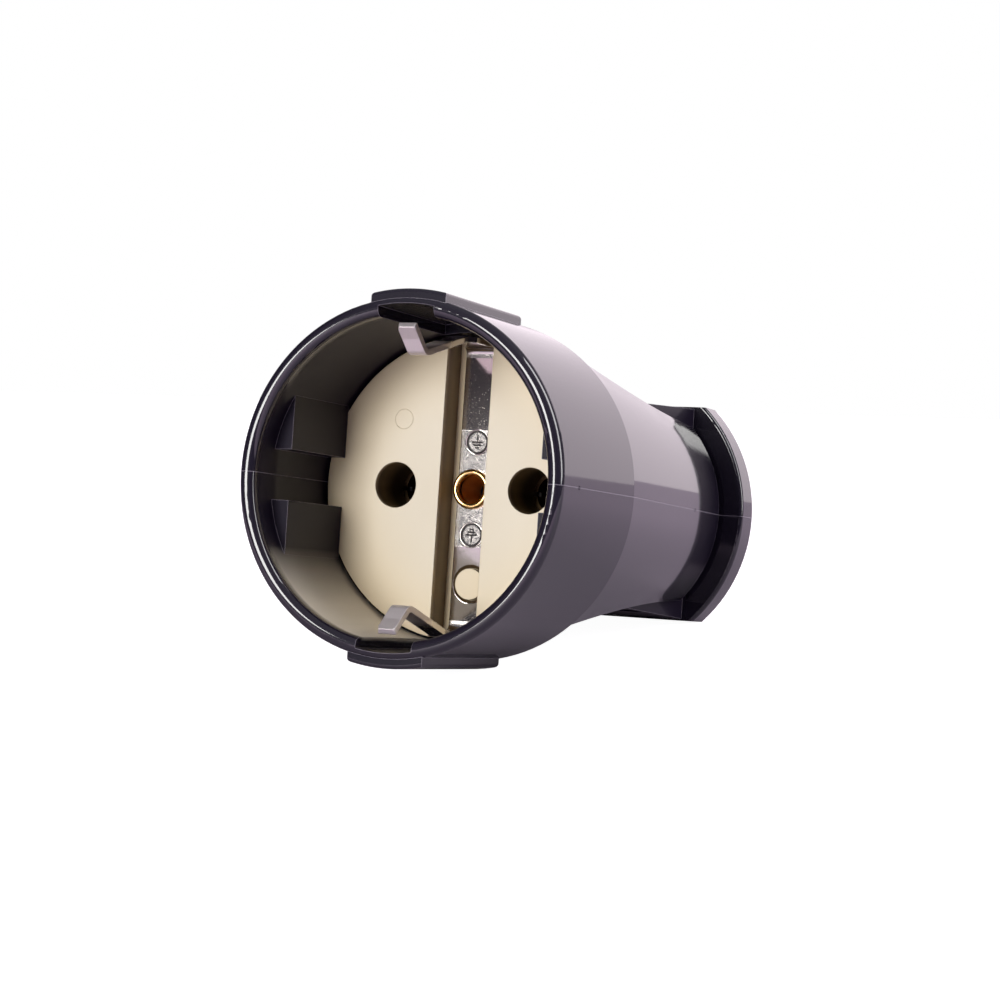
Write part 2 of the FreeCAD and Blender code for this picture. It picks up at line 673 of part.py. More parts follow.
retainer = make_body("contact_retainer")
plate = along_sketch(retainer, "plate", [
    box_loop("-block_width / 2", "-block_height / 2", "block_width / 2", "block_height / 2"),
    ("-" + PIN_SIDE, "0", "sleeve_radius + fit_gap"),
    (PIN_SIDE, "0", "sleeve_radius + fit_gap"),
    box_loop("-centre_width / 2", "-centre_height / 2", "centre_width / 2", "centre_height / 2"),
], "block_end")
pad_back(retainer, "plate_pad", plate, "retainer_thickness")


# Earth strap, folded from one strip of plated sheet: a bar across the insert, two arms
# that stand up towards the mouth, and a springy clip at the end of each arm.


def strip_outline(points, bends, thickness):
    """The edge of a folded strip seen from the side, from its middle line and bend radii."""
    lower, upper = [], []
    half = thickness / 2
    for place, point in enumerate(points):
        before = points[max(place - 1, 0)]
        after = points[min(place + 1, len(points) - 1)]
        if place in (0, len(points) - 1):
            way = (after - before).normalize()
            side = FreeCAD.Vector(0, -way.z, way.y) * half
            lower.append(("corner", point - side))
            upper.append(("corner", point + side))
            continue
        way_in = (point - before).normalize()
        way_out = (after - point).normalize()
        turn = way_in.getAngle(way_out)
        left_hand = way_in.y * way_out.z - way_in.z * way_out.y > 0
        middle_bend = bends[place - 1] + half
        reach = middle_bend * math.tan(turn / 2)
        start = point - way_in * reach
        stop = point + way_out * reach
        side_in = FreeCAD.Vector(0, -way_in.z, way_in.y) * half
        side_out = FreeCAD.Vector(0, -way_out.z, way_out.y) * half
        normal_in = side_in * ((1 if left_hand else -1) / half)
        centre = start + normal_in * middle_bend
        middle = centre + ((start + stop) / 2 - centre).normalize() * middle_bend
        spoke = (middle - centre).normalize() * half * (1 if left_hand else -1)
        lower.append(("arc", start - side_in, middle + spoke, stop - side_out))
        upper.append(("arc", start + side_in, middle - spoke, stop + side_out))
    edges = []
    last = None
    for item in lower + [None] + list(reversed(upper)):
        if item is None:
            continue
        spots = list(item[1:])
        if item in upper:
            spots.reverse()
        if last is not None:
            edges.append(Part.LineSegment(last, spots[0]).toShape())
        if item[0] == "arc":
            edges.append(Part.Arc(*spots).toShape())
        last = spots[-1]
    edges.append(Part.LineSegment(last, lower[0][1]).toShape())
    return Part.Wire(Part.__sortEdges__(edges))


def strap_side(sign):
    """Middle line of one half of the strap, from the axis to its tip."""
    middle = number(GROOVE_FLOOR) - number("strap_thickness") / 2
    return [
        FreeCAD.Vector(0, middle, sign * number("arm_reach")),
        FreeCAD.Vector(0, number("clip_waist"), sign * number("arm_reach")),
        FreeCAD.Vector(0, number("clip_fold"), sign * number("fold_reach")),
        FreeCAD.Vector(0, -number("tip_lead"), sign * number("tip_reach")),
    ]


side_view = strip_outline(
    list(reversed(strap_side(-1))) + strap_side(1),
    [number("strap_bend") * factor for factor in (1, 2, 1, 1, 2, 1)],
    number("strap_thickness"))
folded = doc.addObject("Part::Feature", "strap_folded")
strip = Part.Face(side_view).extrude(FreeCAD.Vector(number("strap_width"), 0, 0))
strip.translate(FreeCAD.Vector(-number("strap_width") / 2, 0, 0))
folded.Shape = strip

# Seen from above, each arm narrows at its waist and ends in a tip with round corners.

CLIP_HALF = "(clip_width / 2)"
CLIP_FRONT = "(tip_lead + strap_thickness / 2)"
plan = [
    ("clip_rounding - " + CLIP_HALF, "-" + CLIP_FRONT),
    (CLIP_HALF + " - clip_rounding", "-" + CLIP_FRONT, ("left", "clip_rounding")),
    (CLIP_HALF, "clip_rounding - " + CLIP_FRONT),
    (CLIP_HALF, "clip_waist"),
    ("strap_width / 2", "clip_waist + strap_bend"),
    ("strap_width / 2", "recess_depth + wall + groove_depth"),
    ("-strap_width / 2", "recess_depth + wall + groove_depth"),
    ("-strap_width / 2", "clip_waist + strap_bend"),
    ("-" + CLIP_HALF, "clip_waist"),
    ("-" + CLIP_HALF, "clip_rounding - " + CLIP_FRONT, ("left", "clip_rounding")),
]
strap_plan = make_body("strap_plan")
pad_both(strap_plan, "strap_plan_pad", draw(strap_plan, "strap_plan_outline", "XY_Plane", [plan]),
         FAR + " * 2")
trimmed = feature(None, "Part::Common", "strap_trimmed", Base=folded, Tool=strap_plan)

STRAP_FACE = "(recess_depth + groove_depth - strap_thickness)"
eye = cylinder("strap_eye", "strap_eye_radius", "strap_thickness",
               ("boss_side", STRAP_FACE, "-boss_drop"), "tail")
centre_eye = cylinder("strap_centre_eye", "strap_centre_radius", "strap_thickness",
                      ("0", STRAP_FACE, "0"), "tail")
countersink = feature(None, "Part::Cone", "strap_stud_countersink",
                      Radius1="boss_radius + fit_gap + eye_countersink",
                      Radius2="boss_radius + fit_gap", Height="eye_countersink")
place(countersink, ("boss_side", STRAP_FACE, "-boss_drop"))
countersink.Placement.Rotation = FreeCAD.Rotation(FreeCAD.Vector(1, 0, 0), -90)
strap_holes = [
    countersink,
    cylinder("strap_stud_hole", "boss_radius + fit_gap", "strap_thickness * 3",
             ("boss_side", STRAP_FACE + " - strap_thickness", "-boss_drop"), "tail"),
    cylinder("strap_eyelet_hole", "eyelet_radius + fit_gap / 2", "strap_thickness * 3",
             ("0", STRAP_FACE + " - strap_thickness", "0"), "tail"),
]
earth_strap = cut("earth_strap", joined("strap_blank", [trimmed, eye, centre_eye]),
                  joined("strap_punched", strap_holes))


# Turned pieces: a profile (radius, height) spun about the piece's own upright axis.


def turned_body(name, corners):
    body = make_body(name)
    sketch = draw(body, name + "_profile", "XZ_Plane", [corners])
    feature(body, "PartDesign::Revolution", name + "_turned", Profile=sketch,
            ReferenceAxis=(origin_plane(body, "Z_Axis"), [""]), Angle=360.0)
    return body


UPRIGHT_TO_TAIL = FreeCAD.Rotation(FreeCAD.Vector(1, 0, 0), -90)


def spot(*texts):
    return FreeCAD.Vector(*[number(text) for text in texts])


seats = {}

# Centre eyelet, a brass tube whose two rolled heads clamp strap, insert and terminal.

EYELET_FRONT = "(%s - eyelet_head)" % STRAP_FACE
EYELET_GRIP = "(strap_thickness + centre_web + terminal_thickness)"
eyelet = turned_body("centre_eyelet", [
    ("eyelet_bore", "eyelet_flare", ("left", "eyelet_flare")),
    ("eyelet_bore + eyelet_flare", "0", ("left", "eyelet_flange - eyelet_bore - eyelet_flare")),
    ("eyelet_flange", "eyelet_flange - eyelet_bore - eyelet_flare"),
    ("eyelet_flange", "eyelet_head"),
    ("eyelet_radius", "eyelet_head"),
    ("eyelet_radius", "eyelet_head + " + EYELET_GRIP),
    ("eyelet_flange", "eyelet_head + " + EYELET_GRIP),
    ("eyelet_flange", "eyelet_head * 2 + " + EYELET_GRIP),
    ("eyelet_bore", "eyelet_head * 2 + " + EYELET_GRIP),
])
seats["centre_eyelet"] = FreeCAD.Placement(spot("0", EYELET_FRONT, "0"), UPRIGHT_TO_TAIL)

# Earth terminal, a bent brass strip held behind the insert by the eyelet.

terminal = make_body("earth_terminal")
TAB_TOP = "(terminal_thickness - terminal_drop)"
foot = along_sketch(terminal, "foot", [
    box_loop("-terminal_width / 2", "-terminal_drop", "terminal_width / 2", "terminal_drop"),
    ("0", "0", "eyelet_radius + fit_gap / 2"),
], WEB_BACK)
pad_back(terminal, "foot_pad", foot, "terminal_thickness")
tab = along_sketch(terminal, "tab", [box_loop("-terminal_width / 2", "-terminal_drop",
                                              "terminal_width / 2", TAB_TOP)], WEB_BACK)
pad_back(terminal, "tab_pad", tab, "terminal_end - " + WEB_BACK)
doc.recompute()
volume = terminal.Shape.Volume
tap = draw(terminal, "tab_hole", "XY_Plane", [("0", "earth_screw_along", "screw_radius")])
hole = feature(terminal, "PartDesign::Pocket", "tab_hole_cut", Profile=tap,
               Length="terminal_drop * 4", Midplane=True)
check_removed(hole, volume)


def screw(name, radius, head_radius, head, length, turn):
    """A slotted cheese-head screw whose underside is at its own origin, shank down."""
    body = turned_body(name, [
        ("0", "-(%s)" % length),
        (radius, "-(%s)" % length),
        (radius, "0"),
        (head_radius, "0"),
        (head_radius, "%s - edge_rounding / 2" % head, ("left", "edge_rounding / 2")),
        ("%s - edge_rounding / 2" % head_radius, head),
        ("0", head),
    ])
    doc.recompute()
    before = body.Shape.Volume
    line = draw(body, name + "_slot", "YZ_Plane", [box_loop(
        "-driver_slot / 2", "%s / 2" % head, "driver_slot / 2", "%s * 2" % head)])
    slot = feature(body, "PartDesign::Pocket", name + "_slot_cut", Profile=line,
                   Length="%s * 4" % head_radius, Midplane=True)
    check_removed(slot, before)
    return body, FreeCAD.Rotation(FreeCAD.Vector(0, 0, 1), number(turn))


pieces = {
    "casing_upper": casing_upper,
    "casing_lower": casing_lower,
    "socket_insert": insert,
    "contact_retainer": retainer,
    "earth_strap": earth_strap,
    "centre_eyelet": eyelet,
    "earth_terminal": terminal,
}

pieces["earth_terminal_screw"], turn = screw(
    "earth_terminal_screw", "screw_radius", "screw_head_radius", "screw_head",
    "terminal_thickness * 3", "earth_screw_turn")
seats["earth_terminal_screw"] = FreeCAD.Placement(
    spot("0", "earth_screw_along", TAB_TOP), turn)

# Contact sleeves, turned brass: four springy fingers in front under a ring spring, a
# collar that the retainer traps, and a solid back with the wire hole and its screw.

SLEEVE_FRONT = "(recess_depth + pin_hole_depth + fit_gap)"
GROOVE_BASE = "(sleeve_radius - spring_groove)"
SPRING_HALF = "(spring_wire + fit_gap)"


def contact_sleeve(name):
    rear = "(sleeve_end - %s)" % SLEEVE_FRONT
    collar_back = "(block_end - %s)" % SLEEVE_FRONT
    collar_front = "(block_end - collar_thickness + fit_gap - %s)" % SLEEVE_FRONT
    ring = "(spring_along - %s)" % SLEEVE_FRONT
    body = turned_body(name, [
        ("sleeve_bore", "0"),
        ("sleeve_radius", "0"),
        ("sleeve_radius", "%s - %s" % (ring, SPRING_HALF)),
        (GROOVE_BASE, "%s - %s" % (ring, SPRING_HALF)),
        (GROOVE_BASE, "%s + %s" % (ring, SPRING_HALF)),
        ("sleeve_radius", "%s + %s" % (ring, SPRING_HALF)),
        ("sleeve_radius", collar_front),
        ("collar_radius", collar_front),
        ("collar_radius", collar_back),
        ("sleeve_radius", collar_back),
        ("sleeve_radius", rear),
        ("wire_bore", rear),
        ("wire_bore", "%s - wire_bore_length" % rear),
        ("sleeve_bore", "%s - wire_bore_length - wire_bore" % rear),
    ])
    doc.recompute()
    left = body.Shape.Volume
    for number_of_cut, plane in enumerate(("XZ_Plane", "YZ_Plane")):
        slit = draw(body, "%s_slit_%d" % (name, number_of_cut), plane, [box_loop(
            "-sleeve_slot / 2", "-wall", "sleeve_slot / 2", "slot_length")])
        opened = feature(body, "PartDesign::Pocket", "%s_slit_cut_%d" % (name, number_of_cut),
                         Profile=slit, Length="sleeve_radius * 4", Midplane=True)
        left = check_removed(opened, left)
    reach = "(live_screw_along - %s)" % SLEEVE_FRONT
    tapped = draw(body, name + "_tapped", "XZ_Plane", [("0", reach, "small_screw_radius")])
    bore = feature(body, "PartDesign::Pocket", name + "_tapped_cut", Profile=tapped,
                   Length="sleeve_radius * 2", Reversed=True)
    check_removed(bore, left)
    return body


for hand, sign in (("left", "-"), ("right", "")):
    sleeve = "contact_sleeve_" + hand
    pieces[sleeve] = contact_sleeve(sleeve)
    seats[sleeve] = FreeCAD.Placement(spot(sign + PIN_SIDE, SLEEVE_FRONT, "0"), UPRIGHT_TO_TAIL)

    # Ring spring, a turn of round steel wire with a gap, lying in the sleeve's groove.
    spring = make_body("sleeve_spring_" + hand)
    wire = draw(spring, "wire_" + hand, "XZ_Plane",
                [(GROOVE_BASE + " + spring_wire", "0", "spring_wire")])
    feature(spring, "PartDesign::Revolution", "wire_turn_" + hand, Profile=wire,
            ReferenceAxis=(origin_plane(spring, "Z_Axis"), [""]), Angle="360 - spring_opening")
    pieces["sleeve_spring_" + hand] = spring
    seats["sleeve_spring_" + hand] = FreeCAD.Placement(
        spot(sign + PIN_SIDE, "spring_along", "0"), UPRIGHT_TO_TAIL)

    # Line screw, which clamps the wire from above.
    name = "terminal_screw_" + hand
    pieces[name], turn = screw(name, "small_screw_radius", "small_head_radius", "small_head",
                               "sleeve_radius - wire_bore / 2", "live_screw_turn")
    seats[name] = FreeCAD.Placement(
        spot(sign + PIN_SIDE, "live_screw_along", "sleeve_radius"), turn)

    # Cord grip screw, down into its pillar.
    name = "cord_grip_screw_" + hand
    pieces[name], turn = screw(name, "screw_radius", "screw_head_radius", "screw_head",
                               "grip_screw_length", "grip_screw_turn")
    seats[name] = FreeCAD.Placement(
        spot(sign + "grip_screw_side", "grip_screw_along", "grip_height"), turn)

    # Casing screw, up from the underside into a nut in the upper shell.
    name = "casing_screw_" + hand
    pieces[name], turn = screw(name, "screw_radius", "screw_head_radius", "screw_head",
                               "counterbore_floor * 2 + nut_height", "casing_screw_turn")
    seats[name] = FreeCAD.Placement(
        spot(sign + "casing_screw_side", "casing_screw_along", "-counterbore_floor"),
        FreeCAD.Rotation(FreeCAD.Vector(1, 0, 0), 180).multiply(turn))

    # Casing nut, in a six-sided pocket that keeps it from turning.
    nut = make_body("casing_nut_" + hand)
    NUT_CORNER = "(nut_flats / sqrt(3))"
    six = [
        (NUT_CORNER, "0"),
        (NUT_CORNER + " / 2", "nut_flats / 2"),
        ("-%s / 2" % NUT_CORNER, "nut_flats / 2"),
        ("-" + NUT_CORNER, "0"),
        ("-%s / 2" % NUT_CORNER, "-nut_flats / 2"),
        (NUT_CORNER + " / 2", "-nut_flats / 2"),
    ]
    face = draw(nut, "nut_face_" + hand, "XY_Plane", [six, ("0", "0", "screw_radius")])
    feature(nut, "PartDesign::Pad", "nut_pad_" + hand, Profile=face, Length="nut_height")
    pieces["casing_nut_" + hand] = nut
    seats["casing_nut_" + hand] = FreeCAD.Placement(
        spot(sign + "casing_screw_side", "casing_screw_along", "counterbore_floor"),
        FreeCAD.Rotation())

# Cord grip bar, bridging its two pillars with a hollow for the cable.

bar = make_body("cord_grip_bar")
ARCH_HALF = "(sqrt(pow(grip_arch; 2) - pow(grip_arch - grip_height / 2; 2)))"
bridge = [
    ("-grip_length / 2", "0"),
    ("-" + ARCH_HALF, "0", ("right", "grip_arch")),
    (ARCH_HALF, "0"),
    ("grip_length / 2", "0"),
    ("grip_length / 2", "grip_height"),
    ("-grip_length / 2", "grip_height"),
]
bar_sketch = along_sketch(bar, "bar_side", [bridge], "grip_screw_along - grip_width / 2")
pad_back(bar, "bar_pad", bar_sketch, "grip_width")
doc.recompute()
volume = bar.Shape.Volume
bar_holes = draw(bar, "bar_holes", "XY_Plane", [
    ("-grip_screw_side", "grip_screw_along", "screw_radius + fit_gap"),
    ("grip_screw_side", "grip_screw_along", "screw_radius + fit_gap"),
])
drilled = feature(bar, "PartDesign::Pocket", "bar_holes_cut", Profile=bar_holes,
                  Length="grip_height * 3", Midplane=True)
check_removed(drilled, volume)
pieces["cord_grip_bar"] = bar

# Rest on a table: the tail drops until the lower ear and the flange both touch.

doc.recompute()
failed = [item.Name for item in doc.Objects
          if "Invalid" in item.State or "Error" in item.State]
if failed:
    raise RuntimeError("these objects failed: %s" % failed)

run = number("overall_length") - number("ear_length")
rise = number(EAR_RADIUS) - number("flange_height / 2")
tilt = -math.degrees(math.atan2(rise, run))
drop = FreeCAD.Rotation(FreeCAD.Vector(1, 0, 0), tilt)
lying = FreeCAD.Placement(FreeCAD.Vector(), drop)

solids = {}
for name, item in pieces.items():
    local = item.Shape.copy()
    local.Placement = lying.multiply(seats.get(name, FreeCAD.Placement())).multiply(
        local.Placement)
    solids[name] = local
boxes = [solid.optimalBoundingBox() for solid in solids.values()]
middle = (min(each.YMin for each in boxes) + max(each.YMax for each in boxes)) / 2
floor = min(each.ZMin for each in boxes)
rest = FreeCAD.Placement(FreeCAD.Vector(0, -middle, -floor), drop)

for name, item in pieces.items():
    item.Label = name
    item.Placement = rest.multiply(seats.get(name, FreeCAD.Placement()))
doc.recompute()

for name, item in pieces.items():
    shape = item.Shape
    if shape.isNull() or not shape.isValid() or not shape.Solids:
        raise RuntimeError("%s has no valid solid" % name)
    shape.exportStep("parts/%s.step" % name)
    print("%-22s solids %d volume %8.1f" % (name, len(shape.Solids), shape.Volume))
print("tilt %.3f degrees, moved %.3f along and %.3f up" % (tilt, -middle, -floor))
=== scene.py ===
import json
import math

import bpy
from mathutils import Matrix, Vector


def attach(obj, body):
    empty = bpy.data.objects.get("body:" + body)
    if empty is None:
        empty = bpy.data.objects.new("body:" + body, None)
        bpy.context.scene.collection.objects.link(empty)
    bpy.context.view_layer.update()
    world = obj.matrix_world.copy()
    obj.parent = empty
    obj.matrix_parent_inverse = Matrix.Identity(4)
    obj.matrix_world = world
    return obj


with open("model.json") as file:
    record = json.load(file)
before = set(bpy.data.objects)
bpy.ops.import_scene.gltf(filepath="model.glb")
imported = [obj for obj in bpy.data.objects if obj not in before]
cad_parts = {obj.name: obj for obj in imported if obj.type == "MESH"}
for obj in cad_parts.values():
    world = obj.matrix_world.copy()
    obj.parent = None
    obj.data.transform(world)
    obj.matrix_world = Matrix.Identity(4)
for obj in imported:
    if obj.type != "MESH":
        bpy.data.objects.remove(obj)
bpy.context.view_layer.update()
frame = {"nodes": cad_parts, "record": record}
nodes = frame["nodes"]

# Casing, two glossy black thermoset mouldings from a polished mould, which meet on the
# parting line. The recess has less gloss and, low down, a pale painted reflection of the cream
# insert, surfaces that face up are duller, and the edges that a hand or a plug rubs are paler,
# partly from wear and partly from a painted highlight along every sharp edge.

CASING_BLACK = (0.009, 0.006, 0.015, 1)
# Worn edges, partly a painted highlight on every sharp edge and along the parting line.
CASING_WORN_AND_HIGHLIGHT = (0.26, 0.23, 0.28, 1)
# Painted reflection: the cream insert as the lower recess wall would mirror it.
CASING_PAINTED_REFLECTION = (0.66, 0.61, 0.54, 1)
CASING_EDGE = {"Radius": 0.00013, "Spread": 9.0}
CASING_SKIN = {"Ripple Scale": 120.0, "Grain Scale": 2600.0}
CASING_RIPPLE_HEIGHT = 0.00003
CASING_GRAIN_HEIGHT = 0.0000006
BASE_ROUGH = 0.5
BASE_SHINE = 0.12
COAT_IOR = 1.65
COAT_GLOSS = 0.07
COAT_RUBBED = 0.26
COAT_FULL = 1.0
COAT_INSIDE = 0.16
COAT_ON_HUB = 0.15
COAT_ON_TOP = 0.07
HOLE_MIDDLE = 0.0215
RECESS_RADIUS = 0.01995
RECESS_RADIUS_BLEND = 0.0004
RECESS_START = (0.0002, 0.0012)
RECESS_FLOOR = 0.0180
RECESS_FLOOR_BLEND = 0.0005
RECESS_LOW_SIDE = (-0.009, -0.016)
HUB_START = 0.0380
HUB_START_BLEND = 0.0020
HUB_SIDE = 0.0130
HUB_SIDE_BLEND = 0.0003
FACES_LEFT = (-0.05, -0.30)
FACES_PARTLY_UP = (0.20, 0.55)
FACES_UP = (0.90, 0.975)
PARTING_DOTS = ((0.0044, 0.0220), (0.0512, 0.0192))
PARTING_DOT_RADIUS = 0.00032
PARTING_DOT_CORE = 0.6


def new_group(name, inputs, outputs):
    """An empty shader group with number inputs and the named outputs."""
    group = bpy.data.node_groups.new(name, "ShaderNodeTree")
    for label, start in inputs:
        socket = group.interface.new_socket(label, in_out="INPUT", socket_type="NodeSocketFloat")
        socket.default_value = start
    for label, kind in outputs:
        group.interface.new_socket(label, in_out="OUTPUT", socket_type=kind)
    return group, group.nodes.new("NodeGroupInput"), group.nodes.new("NodeGroupOutput")


def add_node(tree, kind, links=(), **values):
    """A node with its properties set and its inputs linked or given."""
    node = tree.nodes.new(kind)
    for key, value in values.items():
        setattr(node, key, value)
    for label, source in links:
        if isinstance(source, bpy.types.NodeSocket):
            tree.links.new(source, node.inputs[label])
        else:
            node.inputs[label].default_value = source
    return node


def combined(tree, operation, first, second):
    """Two numbers put together by one operation, such as ADD or MAXIMUM."""
    return add_node(tree, "ShaderNodeMath", [(0, first), (1, second)],
                    operation=operation).outputs[0]


def product(tree, first, second):
    """Two masks multiplied, so that both have to hold."""
    return combined(tree, "MULTIPLY", first, second)


def step_over(tree, value, start, stop):
    """A mask that climbs from 0 at start to 1 at stop."""
    return add_node(tree, "ShaderNodeMapRange", [("Value", value), ("From Min", start),
                    ("From Max", stop)]).outputs[0]


def between(tree, amount, low, high):
    """A mask from 0 to 1 stretched to run from low to high."""
    return add_node(tree, "ShaderNodeMapRange", [("Value", amount), ("To Min", low),
                    ("To Max", high)]).outputs[0]


def mix_colour(tree, amount, first, second):
    """A colour between two, by a mask."""
    return add_node(tree, "ShaderNodeMix", [("Factor", amount), (6, first), (7, second)],
                    data_type="RGBA").outputs[2]


def raised(tree, height, distance, normal):
    """A bump whose height runs over the given distance in metres."""
    return add_node(tree, "ShaderNodeBump", [("Strength", 1.0), ("Distance", distance),
                    ("Height", height), ("Normal", normal)]).outputs[0]


def rounded_edges():
    """Group: a normal that rounds sharp edges, and a mask that is 1 on them."""
    group, come, go = new_group("rounded_edges", [("Radius", 0.0002), ("Spread", 6.0)],
                                [("Normal", "NodeSocketVector"), ("Edge", "NodeSocketFloat")])
    rounded = add_node(group, "ShaderNodeBevel", [("Radius", come.outputs["Radius"])], samples=6)
    surface = add_node(group, "ShaderNodeNewGeometry")
    along = add_node(group, "ShaderNodeVectorMath", [(0, rounded.outputs[0]),
                     (1, surface.outputs["Normal"])], operation="DOT_PRODUCT")
    away = combined(group, "SUBTRACT", 1.0, along.outputs["Value"])
    mask = add_node(group, "ShaderNodeMath", [(0, away), (1, come.outputs["Spread"])],
                    operation="MULTIPLY", use_clamp=True)
    group.links.new(rounded.outputs[0], go.inputs["Normal"])
    group.links.new(mask.outputs[0], go.inputs["Edge"])
    return group


def worked_skin():
    """Group: slow ripple, fine grain and stray specks, each from 0 to 1."""
    group, come, go = new_group(
        "worked_skin", [("Ripple Scale", 100.0), ("Grain Scale", 2500.0), ("Speck Scale", 5000.0)],
        [("Ripple", "NodeSocketFloat"), ("Grain", "NodeSocketFloat"),
         ("Specks", "NodeSocketFloat")])
    place = add_node(group, "ShaderNodeTexCoord")
    ripple = add_node(group, "ShaderNodeTexNoise", [
        ("Vector", place.outputs["Object"]), ("Scale", come.outputs["Ripple Scale"]),
        ("Detail", 3.0), ("Roughness", 0.45)])
    grain = add_node(group, "ShaderNodeTexNoise", [
        ("Vector", place.outputs["Object"]), ("Scale", come.outputs["Grain Scale"]),
        ("Detail", 2.0)])
    cells = add_node(group, "ShaderNodeTexVoronoi", [
        ("Vector", place.outputs["Object"]), ("Scale", come.outputs["Speck Scale"])])
    specks = add_node(group, "ShaderNodeMapRange", [
        ("Value", cells.outputs["Distance"]), ("From Min", 0.05), ("From Max", 0.16),
        ("To Min", 1.0), ("To Max", 0.0)])
    group.links.new(ripple.outputs["Fac"], go.inputs["Ripple"])
    group.links.new(grain.outputs["Fac"], go.inputs["Grain"])
    group.links.new(specks.outputs[0], go.inputs["Specks"])
    return group


# The socket's own directions come from its two pin holes: outward along the axis through
# the mouth, across from the left hole to the right one, and upward at right angles to both.

mounts = {mount["name"]: mount for mount in frame["record"]["mounts"]}
left_hole = Vector(mounts["pin_hole_left"]["pos_m"])
right_hole = Vector(mounts["pin_hole_right"]["pos_m"])
outward = Vector(mounts["pin_hole_left"]["axis"]).normalized()
across = (right_hole - left_hole).normalized()
upward = outward.cross(across)
mouth = (left_hole + right_hole) / 2 + outward * HOLE_MIDDLE
socket_space = Matrix.Translation(mouth) @ Matrix((across, -outward, upward)).transposed().to_4x4()


def socket_places():
    """Group: depth behind the mouth, height over the axis, side, and reach from the axis."""
    group, _, go = new_group("socket_places", [], [
        ("Depth", "NodeSocketFloat"), ("Height", "NodeSocketFloat"),
        ("Side", "NodeSocketFloat"), ("Reach", "NodeSocketFloat")])
    place = add_node(group, "ShaderNodeTexCoord")
    here = add_node(group, "ShaderNodeVectorMath", [(0, place.outputs["Object"]), (1, mouth)],
                    operation="SUBTRACT")
    ways = {}
    for label, way in (("Depth", -outward), ("Height", upward), ("Side", across)):
        ways[label] = add_node(group, "ShaderNodeVectorMath", [(0, here.outputs[0]), (1, way)],
                               operation="DOT_PRODUCT").outputs["Value"]
        group.links.new(ways[label], go.inputs[label])
    flat = add_node(group, "ShaderNodeCombineXYZ", [("X", ways["Side"]), ("Y", ways["Height"])])
    reach = add_node(group, "ShaderNodeVectorMath", [(0, flat.outputs[0])], operation="LENGTH")
    group.links.new(reach.outputs["Value"], go.inputs["Reach"])
    return group


def new_material(name):
    """A material with its Principled shader and the tree it stands in."""
    material = bpy.data.materials.new(name)
    material.use_nodes = True
    return material, material.node_tree, material.node_tree.nodes["Principled BSDF"]


def use_group(tree, group, values=None):
    """A shader group placed in a material, with that material's own values."""
    node = tree.nodes.new("ShaderNodeGroup")
    node.node_tree = group
    for label, value in (values or {}).items():
        node.inputs[label].default_value = value
    return node


def dress(material, *names):
    """Give CAD nodes their finish."""
    for name in names:
        slots = nodes[name].data.materials
        slots.clear()
        slots.append(material)


EDGES = rounded_edges()
SKIN = worked_skin()
PLACES = socket_places()

casing_finish, tree, shader = new_material("casing_black_moulding")
edge = use_group(tree, EDGES, CASING_EDGE)
skin = use_group(tree, SKIN, CASING_SKIN)
spot = use_group(tree, PLACES)
within = step_over(tree, spot.outputs["Reach"], RECESS_RADIUS + RECESS_RADIUS_BLEND, RECESS_RADIUS)
behind_mouth = step_over(tree, spot.outputs["Depth"], *RECESS_START)
before_floor = step_over(tree, spot.outputs["Depth"], RECESS_FLOOR + RECESS_FLOOR_BLEND,
                         RECESS_FLOOR)
inside = product(tree, product(tree, within, behind_mouth), before_floor)
low = step_over(tree, spot.outputs["Height"], *RECESS_LOW_SIDE)
# Painted reflection of the insert, pale on the lower part of the recess wall.
with_painted_reflection = mix_colour(tree, product(tree, inside, low), CASING_BLACK, CASING_PAINTED_REFLECTION)
# Sharp edges and the parting line are paler, partly worn and partly a painted highlight.
tree.links.new(mix_colour(tree, edge.outputs["Edge"], with_painted_reflection, CASING_WORN_AND_HIGHLIGHT),
               shader.inputs["Base Color"])

inside_coat = between(tree, low, COAT_INSIDE, COAT_FULL)
coat = between(tree, inside, COAT_FULL, inside_coat)
sideways = add_node(tree, "ShaderNodeMath", [(0, spot.outputs["Side"])], operation="ABSOLUTE")
hub = product(tree, step_over(tree, sideways.outputs[0], HUB_SIDE + HUB_SIDE_BLEND, HUB_SIDE),
              step_over(tree, spot.outputs["Depth"], HUB_START, HUB_START + HUB_START_BLEND))
coat = product(tree, coat, between(tree, hub, COAT_FULL, COAT_ON_HUB))
place = add_node(tree, "ShaderNodeTexCoord")
for depth, side in PARTING_DOTS:
    gap = add_node(tree, "ShaderNodeVectorMath", [
        (0, place.outputs["Object"]), (1, mouth - outward * depth + across * side)],
        operation="DISTANCE")
    outside_dot = step_over(tree, gap.outputs["Value"], PARTING_DOT_RADIUS * PARTING_DOT_CORE,
                            PARTING_DOT_RADIUS)
    coat = product(tree, coat, outside_dot)
surface = add_node(tree, "ShaderNodeNewGeometry")
lies = add_node(tree, "ShaderNodeSeparateXYZ", [("Vector", surface.outputs["Normal"])])
upper_left = product(tree, step_over(tree, lies.outputs["X"], *FACES_LEFT),
                     step_over(tree, lies.outputs["Z"], *FACES_PARTLY_UP))
dull = combined(tree, "MAXIMUM", upper_left, step_over(tree, lies.outputs["Z"], *FACES_UP))
tree.links.new(product(tree, coat, between(tree, dull, COAT_FULL, COAT_ON_TOP)),
               shader.inputs["Coat Weight"])
tree.links.new(between(tree, edge.outputs["Edge"], COAT_GLOSS, COAT_RUBBED),
               shader.inputs["Coat Roughness"])

shader.inputs["Roughness"].default_value = BASE_ROUGH
shader.inputs["Specular IOR Level"].default_value = BASE_SHINE
shader.inputs["Coat IOR"].default_value = COAT_IOR
rippled = raised(tree, skin.outputs["Ripple"], CASING_RIPPLE_HEIGHT, edge.outputs["Normal"])
tree.links.new(raised(tree, skin.outputs["Grain"], CASING_GRAIN_HEIGHT, rippled),
               shader.inputs["Normal"])
dress(casing_finish, "casing_upper", "casing_lower")
